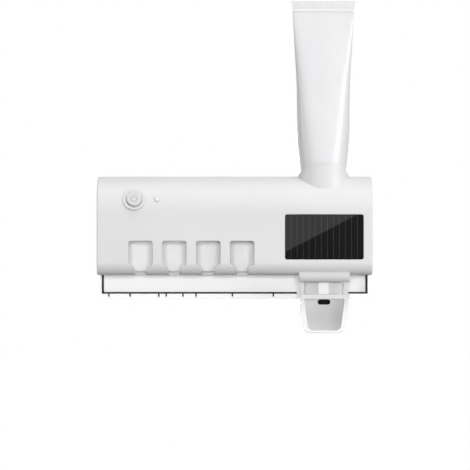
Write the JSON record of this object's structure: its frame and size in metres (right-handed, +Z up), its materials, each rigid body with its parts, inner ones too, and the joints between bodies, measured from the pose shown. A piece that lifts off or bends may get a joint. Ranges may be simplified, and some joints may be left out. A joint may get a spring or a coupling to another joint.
{
  "type": "toothpaste dispenser",
  "caption": "Wall-hung toothbrush holder and steriliser with a push-lever toothpaste dispenser, tube collar, solar panel and drip gutter.",
  "frame": {"origin": "centre of the adhesive face where the unit meets the wall", "axes": "+Y into the wall, so the front faces -Y; +X to the right seen from the front; +Z up"},
  "size_m": [0.235, 0.0623, 0.2852],
  "materials": {
    "white_gloss": "gloss",
    "white_satin": "satin",
    "foam": "matt foam",
    "dark_rubber": "matt",
    "black_silicone": "matt",
    "pale_silicone": "matt",
    "solar_cell": "gloss",
    "circuit_board": "satin",
    "clear_lamp": "clear gloss",
    "black_plastic": "satin",
    "steel": "bright",
    "cell_wrap": "shrink wrap",
    "tube_laminate": "soft sheen"
  },
  "bodies": {
    "bracket": {"wall_plate": "white_satin", "adhesive_pad": "foam"},
    "housing": {"rear_housing": "white_gloss", "front_cover": "white_gloss", "rest_strip": "dark_rubber", "chamber_liner": "white_satin", "uv_board": "circuit_board", "uv_leds": "clear_lamp", "button_bezel": "white_gloss", "tact_switch": "black_plastic", "control_board": "circuit_board", "board_screws": "steel", "indicator_lens": "clear_lamp", "status_led": "white_satin", "solar_panel": "solar_cell", "battery_cell": "cell_wrap", "battery_cradle": "black_plastic", "charge_board": "circuit_board", "charge_socket": "steel", "cover_screws": "steel", "tube_socket": "white_satin", "inlet_seal": "pale_silicone", "inlet_valve": "pale_silicone", "pump_cylinder": "white_satin", "pump_screws": "steel", "rod_bush": "black_plastic", "return_spring": "steel", "outlet_block": "white_gloss", "outlet_valve": "black_silicone", "lever_pin": "steel"},
    "lever": {"push_lever": "white_gloss"},
    "piston": {"piston": "white_satin", "piston_seal": "black_silicone"},
    "button": {"power_button": "white_gloss", "switch_plunger": "black_plastic"},
    "tube": {"tube_sleeve": "tube_laminate", "tube_shoulder": "tube_laminate"}
  },
  "joints": [
    {"name": "unit_lift", "type": "slide", "parent": "bracket", "child": "housing", "axis": [0, 0, 1], "range_m": [0, 0.054]},
    {"name": "lever_push", "type": "hinge", "parent": "housing", "child": "lever", "pos_m": [0.0763, -0.0515, -0.0323], "axis": [1, 0, 0], "range_deg": [0, 13.5], "stiffness_Nm_per_rad": 0.4, "springref_deg": -5.73},
    {"name": "piston_stroke", "type": "slide", "parent": "housing", "child": "piston", "axis": [0, 0, 1], "range_m": [0, 0.005], "deforming": ["return_spring"]},
    {"name": "button_press", "type": "slide", "parent": "housing", "child": "button", "axis": [0, 0.9386, -0.345], "range_m": [0, 0.0008], "stiffness_N_per_m": 1200},
    {"name": "tube_pull", "type": "slide", "parent": "housing", "child": "tube", "axis": [0, 0, 1], "range_m": [0, 0.05]}
  ],
  "couplings": [
    {"joint": "piston_stroke", "follows": "lever_push", "m_per_rad": 0.0203}
  ]
}
